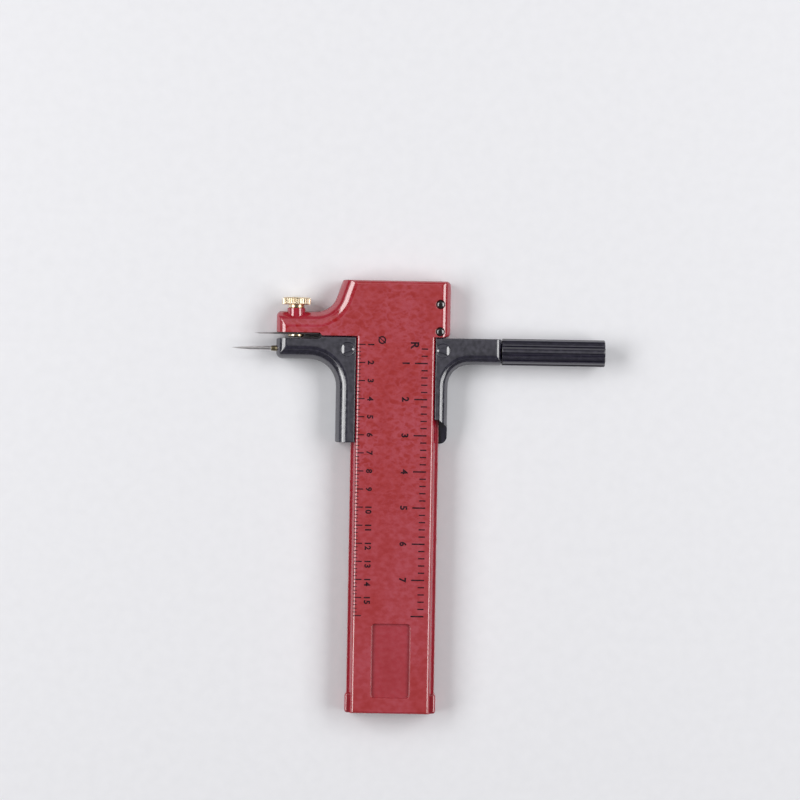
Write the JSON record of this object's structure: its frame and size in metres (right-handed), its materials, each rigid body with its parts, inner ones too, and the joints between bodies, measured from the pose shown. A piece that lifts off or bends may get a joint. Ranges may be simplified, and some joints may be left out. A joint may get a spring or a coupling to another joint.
{
  "type": "circle cutter",
  "caption": "Caliper-type circle cutter: flanged beam with a blade jaw, a slider with a needle jaw and a side arm with a fluted locking grip, and a store for spares.",
  "frame": {"origin": "on the beam's centre line, level with the zero of the printed radius scale, in the plane that the tool rests on when its printed face looks up", "axes": "+X from the needle to the grip, +Y along the beam to its head, +Z to the printed face"},
  "size_m": [0.1036, 0.1199, 0.0082],
  "materials": {
    "red_plastic": "moulded, semi-gloss, dark red",
    "black_plastic": "moulded, satin, fine texture",
    "turned_brass": "turned and knurled",
    "blade_steel": "ground",
    "needle_steel": "polished",
    "spring_steel": "bright",
    "black_steel": "blackened",
    "pale_plastic": "moulded, natural acetal",
    "graphite": "smooth, slightly shiny"
  },
  "bodies": {
    "beam": {"beam": "red_plastic", "head_back_cover": "red_plastic", "head_screw_upper": "black_steel", "head_screw_lower": "black_steel", "spare_blade_outer": "blade_steel", "spare_blade_inner": "blade_steel", "spare_lead": "graphite"},
    "storage_cover": {"storage_cover": "red_plastic"},
    "clamp_nut": {"clamp_nut": "turned_brass"},
    "clamp_screw": {"clamp_screw": "turned_brass"},
    "blade": {"blade": "blade_steel"},
    "slider": {"slider_body": "black_plastic", "needle": "needle_steel", "needle_bush": "needle_steel", "gib_spring": "spring_steel", "thread_insert": "turned_brass"},
    "brake": {"brake_shoe": "pale_plastic"},
    "grip": {"grip": "black_plastic", "lock_stud": "spring_steel"}
  },
  "joints": [
    {"name": "slider_slide", "type": "slide", "parent": "beam", "child": "slider", "axis": [0, -1, 0], "range_m": [0, 0.069]},
    {"name": "brake_travel", "type": "slide", "parent": "slider", "child": "brake", "axis": [1, 0, 0], "range_m": [0, 0.000525]},
    {"name": "grip_turn", "type": "hinge", "parent": "brake", "child": "grip", "pos_m": [0.0437, -0.0064, 0.0042], "axis": [1, 0, 0], "range_deg": [0, 270]},
    {"name": "clamp_nut_turn", "type": "hinge", "parent": "beam", "child": "clamp_nut", "pos_m": [-0.0278, 0.0068, 0.0042], "axis": [0, 1, 0], "range_deg": [0, 180]},
    {"name": "clamp_screw_travel", "type": "slide", "parent": "beam", "child": "clamp_screw", "axis": [0, -1, 0], "range_m": [0, 0.000225]},
    {"name": "blade_set", "type": "slide", "parent": "beam", "child": "blade", "axis": [-1, 0, 0], "range_m": [0, 0.003]},
    {"name": "storage_cover_slide", "type": "slide", "parent": "beam", "child": "storage_cover", "axis": [0, -1, 0], "range_m": [0, 0.022]}
  ],
  "couplings": [
    {"joint": "grip_turn", "follows": "brake_travel", "rad_per_m": 8975},
    {"joint": "clamp_nut_turn", "follows": "clamp_screw_travel", "rad_per_m": 13962}
  ]
}
